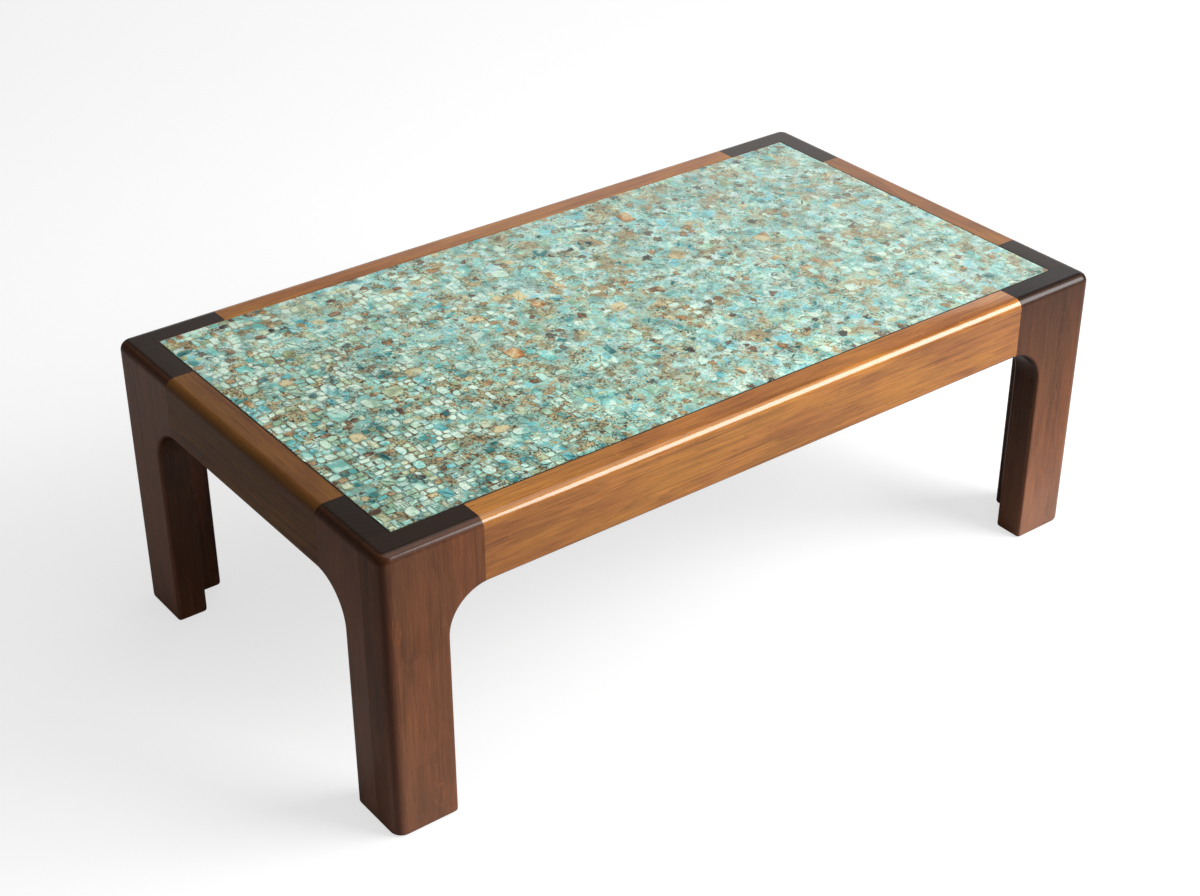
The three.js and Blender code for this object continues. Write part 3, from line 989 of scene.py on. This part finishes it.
def crumble(rng, heaps, cell, hue, paleness_and_sheen):
    """Fills a chip's place with crumbs."""
    left, right, low, high = cell
    across = portions(rng, left, right, 0.7 * CRUMB, 1.3 * CRUMB)
    upwards = portions(rng, low, high, 0.7 * CRUMB, 1.3 * CRUMB)
    for small in [(l, r, b, t) for l, r in zip(across, across[1:])
                  for b, t in zip(upwards, upwards[1:])]:
        tone = min(1.0, max(0.0, hue + 1.1 * (rng.random() - 0.5)))
        kind = pick_stone(rng, small[0], small[2], True)
        heaps.setdefault((kind, "crumbs"), []).append(
            (tone, max(0.0, paleness_and_sheen), tile_outline(rng, small, 0.2, JOINTS[0])))


def make_chips():
    """Lays a chip, crumbs or nothing in each place, sorted by kind of stone and by shape."""
    rng = random.Random(7)
    heaps = {}
    for cell in lay_out_rows(rng):
        left, right, low, high = cell
        x = (left + right) / 2
        y = (low + high) / 2
        neat = tidiness(x, y)
        hue = 0.46 + 0.9 * patchiness(x, y, 0.045, 5.0) + 0.5 * patchiness(x, y, 0.12, 7.0)
        joint = JOINTS[0] + (JOINTS[1] - JOINTS[0]) * neat
        across_field = (x - FIELD_LOW.x + y - FIELD_LOW.y) / (FIELD_HIGH.x - FIELD_LOW.x)
        # Paleness: in patches at random, and rising a little towards the far corner, partly the stones' own
        # paleness and partly a painted sheen
        paleness_and_sheen = 0.05 + min(0.15, 0.2 * across_field) + 0.7 * patchiness(x, y, 0.06, 12.0)
        big = (right - left) * (high - low) > BIG_CHIP
        if not big and rng.random() > coverage(x, y):
            if rng.random() <= CRUMBLED:
                crumble(rng, heaps, cell, hue, paleness_and_sheen)
            continue
        kind = rng.choices(("turquoise", "mint", "tan"), (0.78, 0.12, 0.1))[0] if big \
            else pick_stone(rng, x, y, False)
        tone = min(1.0, max(0.0, hue + 0.9 * (rng.random() - 0.5)))
        to_the_right = rightwards(x, 0.6)
        shape = "tiles" if rng.random() < max(0.12 + 0.6 * neat, 0.7 * to_the_right) else "pebbles"
        loose = 0.07 + 0.05 * (1.0 - neat) + 0.14 * to_the_right * (1.0 - neat)
        outline = tile_outline if shape == "tiles" else pebble_outline
        paleness_and_sheen = max(-0.4, paleness_and_sheen + rng.uniform(-0.6, 0.5) * (1.0 - 0.3 * to_the_right))
        heaps.setdefault((kind, shape), []).append((tone, paleness_and_sheen, outline(rng, cell, loose, joint)))
    for (kind, shape), outlines in sorted(heaps.items()):
        set_stones(f"{kind}_{shape}", kind, outlines, ROUNDINGS[shape])


def make_panel():
    """The panel stays as it is packed, and is only given its wood."""
    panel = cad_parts["top_panel"]
    panel.data.materials.clear()
    panel.data.materials.append(PLYWOOD)


def floor_material():
    """A lit white sweep: it looks near white, yet throws back less light than it seems to."""
    material, tree, shader = new_material("pale floor", Roughness=0.9, Specular_IOR_Level=0.1)
    seen = put(tree, "ShaderNodeLightPath").outputs["Is Camera Ray"]
    plain = blended(tree, seen, (0.38, 0.38, 0.38, 1.0), (0.42, 0.42, 0.42, 1.0))
    tree.links.new(plain, shader.inputs["Base Color"])
    shader.inputs["Emission Color"].default_value = (1.0, 1.0, 1.0, 1.0)
    tree.links.new(maths(tree, "MULTIPLY", seen, 0.67), shader.inputs["Emission Strength"])
    return material


def make_studio():
    floor_bm = bmesh.new()
    bmesh.ops.create_grid(floor_bm, x_segments=1, y_segments=1, size=20.0)
    floor = finished("floor", floor_bm, floor_material())

    world = bpy.data.worlds.new("soft room")
    bpy.context.scene.world = world
    world.use_nodes = True
    sky = world.node_tree.nodes["Background"]
    sky.inputs["Color"].default_value = (1.0, 1.0, 1.0, 1.0)
    sky.inputs["Strength"].default_value = 0.12

    def softbox(name, place, target, width, height, power):
        light = bpy.data.lights.new(name, "AREA")
        light.shape = "RECTANGLE"
        light.size = width
        light.size_y = height
        light.energy = power
        lamp = bpy.data.objects.new(name, light)
        lamp.location = place
        lamp.rotation_euler = (Vector(target) - Vector(place)).to_track_quat("-Z", "Y").to_euler()
        bpy.context.scene.collection.objects.link(lamp)

    softbox("window", (2.25, -2.45, 2.4), (0.1, -0.2, 0.3), 2.6, 2.1, 197)
    softbox("ceiling", (0.5, -0.5, 3.2), (0.2, 0.0, 0.3), 3.0, 2.4, 34)
    softbox("backdrop", (3.3, 3.4, 1.4), (0.3, 0.3, 0.5), 5.6, 2.6, 50)


def make_camera():
    lens = bpy.data.cameras.new("camera")
    lens.sensor_width = SENSOR_WIDTH
    lens.lens = CAMERA_LENS
    camera = bpy.data.objects.new("camera", lens)
    camera.location = CAMERA_PLACE
    camera.rotation_euler = CAMERA_TURN
    bpy.context.scene.collection.objects.link(camera)
    bpy.context.scene.camera = camera
    bpy.context.scene.view_settings.view_transform = "Standard"


make_camera()
make_studio()
make_legs()
make_rails()
make_panel()
make_bed()
make_chips()
